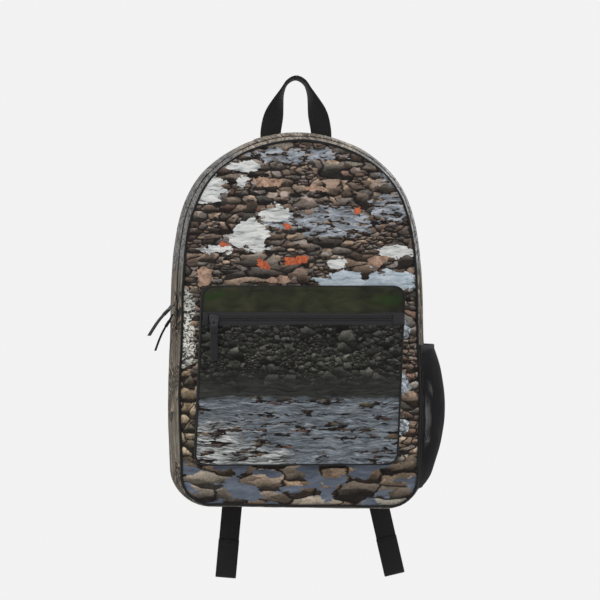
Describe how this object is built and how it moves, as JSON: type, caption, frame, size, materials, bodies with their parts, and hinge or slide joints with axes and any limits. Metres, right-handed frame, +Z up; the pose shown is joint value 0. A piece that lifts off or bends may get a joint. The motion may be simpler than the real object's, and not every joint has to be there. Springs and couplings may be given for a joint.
{
  "type": "backpack",
  "caption": "Arch-topped day backpack with a round main zip, a zipped front pocket, a mesh bottle pocket, padded shoulder straps and a grab handle.",
  "frame": {"origin": "inside of the grab handle's top, where a hook bears", "axes": "+Z up, -Y towards the front pocket, +X towards the mesh bottle pocket"},
  "size_m": [0.3544, 0.1913, 0.6143],
  "materials": {
    "print_front": "woven polyester printed all over with a stony stream bed",
    "print_side": "woven polyester printed all over with a stony stream bed",
    "lining": "black plain-weave lining",
    "back_mesh": "black spacer mesh over foam",
    "foam": "closed-cell foam",
    "board": "stiff polyethylene sheet",
    "zip_tape": "charcoal woven zip tape",
    "zip_coil": "black nylon coil",
    "slider_metal": "black lacquered zinc",
    "ribbon": "charcoal grosgrain ribbon",
    "net": "black knitted mesh",
    "elastic": "charcoal woven elastic",
    "webbing": "charcoal webbing",
    "strap_fabric": "black polyester and spacer mesh over foam",
    "lock_plastic": "black moulded acetal",
    "binding": "black binding tape"
  },
  "bodies": {
    "bag": {"back_panel": "back_mesh", "back_foam": "foam", "back_lining": "lining", "seam_binding_rear": "binding", "rear_gusset": "print_side", "lower_gusset": "print_side", "front_panel_lower": "print_front", "seam_binding_front_lower": "binding", "main_zip_tape_rear": "zip_tape", "main_zip_coil_rear": "zip_coil", "main_zip_tape_front_lower": "zip_tape", "main_zip_coil_front_lower": "zip_coil", "main_zip_end_stops": "zip_coil", "bottom_board": "board", "laptop_sleeve": "lining", "sleeve_binding": "binding", "sleeve_strap": "webbing", "pocket_panel": "print_front", "pocket_hood": "print_front", "pocket_gusset": "print_front", "pocket_zip_tape_upper": "zip_tape", "pocket_zip_coil_upper": "zip_coil", "pocket_zip_tape_lower": "zip_tape", "pocket_zip_coil_lower": "zip_coil", "pocket_zip_end_tab": "zip_tape", "side_mesh_pocket": "net", "mesh_pocket_hem": "elastic", "handle_patch": "print_side", "handle_feet": "webbing", "shoulder_yoke": "strap_fabric", "strap_anchor_left": "strap_fabric", "strap_anchor_right": "strap_fabric", "lower_webbing_left": "webbing", "lower_webbing_right": "webbing"},
    "front_flap": {"front_gusset_upper": "print_side", "front_panel_upper": "print_front", "seam_binding_front_upper": "binding", "main_zip_tape_front_upper": "zip_tape", "main_zip_coil_front_upper": "zip_coil"},
    "main_slider_lower": {"main_slider_lower": "slider_metal"},
    "main_slider_upper": {"main_slider_upper": "slider_metal"},
    "main_pull_lower": {"main_pull_lower_tab": "slider_metal", "main_pull_lower_ribbon": "ribbon"},
    "main_pull_upper": {"main_pull_upper_tab": "slider_metal", "main_pull_upper_ribbon": "ribbon"},
    "pocket_slider": {"pocket_slider": "slider_metal"},
    "pocket_pull": {"pocket_pull_tab": "slider_metal", "pocket_pull_ribbon": "ribbon"},
    "grab_handle": {"grab_handle": "webbing"},
    "shoulder_strap_left": {"strap_pad_left": "strap_fabric", "strap_loop_left": "webbing"},
    "ladder_lock_left": {"ladder_lock_left": "lock_plastic"},
    "strap_tail_left": {"strap_tail_left": "webbing"},
    "shoulder_strap_right": {"strap_pad_right": "strap_fabric", "strap_loop_right": "webbing"},
    "ladder_lock_right": {"ladder_lock_right": "lock_plastic"},
    "strap_tail_right": {"strap_tail_right": "webbing"}
  },
  "joints": [
    {"name": "front_flap_fold", "type": "hinge", "parent": "bag", "child": "front_flap", "pos_m": [0, -0.098, -0.2485], "axis": [1, 0, 0], "range_deg": [0, 80]},
    {"name": "main_slider_lower_run", "type": "slide", "parent": "bag", "child": "main_slider_lower", "axis": [0, 0, -1], "range_m": [0, 0.01]},
    {"name": "main_slider_upper_run", "type": "slide", "parent": "bag", "child": "main_slider_upper", "axis": [0, 0, 1], "range_m": [0, 0.02]},
    {"name": "main_pull_lower_swing", "type": "hinge", "parent": "main_slider_lower", "child": "main_pull_lower", "pos_m": [-0.1498, -0.072, -0.28575], "axis": [0.2079, 0.9781, 0], "range_deg": [-20, 8]},
    {"name": "main_pull_upper_swing", "type": "hinge", "parent": "main_slider_upper", "child": "main_pull_upper", "pos_m": [-0.1498, -0.072, -0.27425], "axis": [-0.4384, 0.8988, 0], "range_deg": [-10, 80]},
    {"name": "pocket_slider_run", "type": "slide", "parent": "bag", "child": "pocket_slider", "axis": [1, 0, 0], "range_m": [0, 0.2]},
    {"name": "pocket_pull_swing", "type": "hinge", "parent": "pocket_slider", "child": "pocket_pull", "pos_m": [-0.102, -0.1278, -0.291], "axis": [-1, 0, 0], "range_deg": [0, 120]},
    {"name": "grab_handle_fold", "type": "hinge", "parent": "bag", "child": "grab_handle", "pos_m": [0, 0, -0.066], "axis": [1, 0, 0], "range_deg": [-60, 60], "stiffness_Nm_per_rad": 0.05},
    {"name": "shoulder_strap_left_swing", "type": "hinge", "parent": "bag", "child": "shoulder_strap_left", "pos_m": [-0.045, 0.024, -0.108], "axis": [0.9976, 0, -0.0698], "range_deg": [0, 20]},
    {"name": "ladder_lock_left_tilt", "type": "hinge", "parent": "shoulder_strap_left", "child": "ladder_lock_left", "pos_m": [-0.06542, 0.043, -0.4], "axis": [0.9976, 0, -0.0698], "range_deg": [0, 25]},
    {"name": "strap_tail_left_swing", "type": "hinge", "parent": "ladder_lock_left", "child": "strap_tail_left", "pos_m": [-0.06626, 0.049, -0.412], "axis": [0.9959, 0, -0.0906], "range_deg": [-8, 60]},
    {"name": "shoulder_strap_right_swing", "type": "hinge", "parent": "bag", "child": "shoulder_strap_right", "pos_m": [0.045, 0.024, -0.108], "axis": [0.9936, 0, 0.1132], "range_deg": [0, 20]},
    {"name": "ladder_lock_right_tilt", "type": "hinge", "parent": "shoulder_strap_right", "child": "ladder_lock_right", "pos_m": [0.07827, 0.043, -0.4], "axis": [0.9936, 0, 0.1132], "range_deg": [0, 25]},
    {"name": "strap_tail_right_swing", "type": "hinge", "parent": "ladder_lock_right", "child": "strap_tail_right", "pos_m": [0.07964, 0.049, -0.412], "axis": [0.9744, 0, 0.225], "range_deg": [-8, 60]}
  ]
}
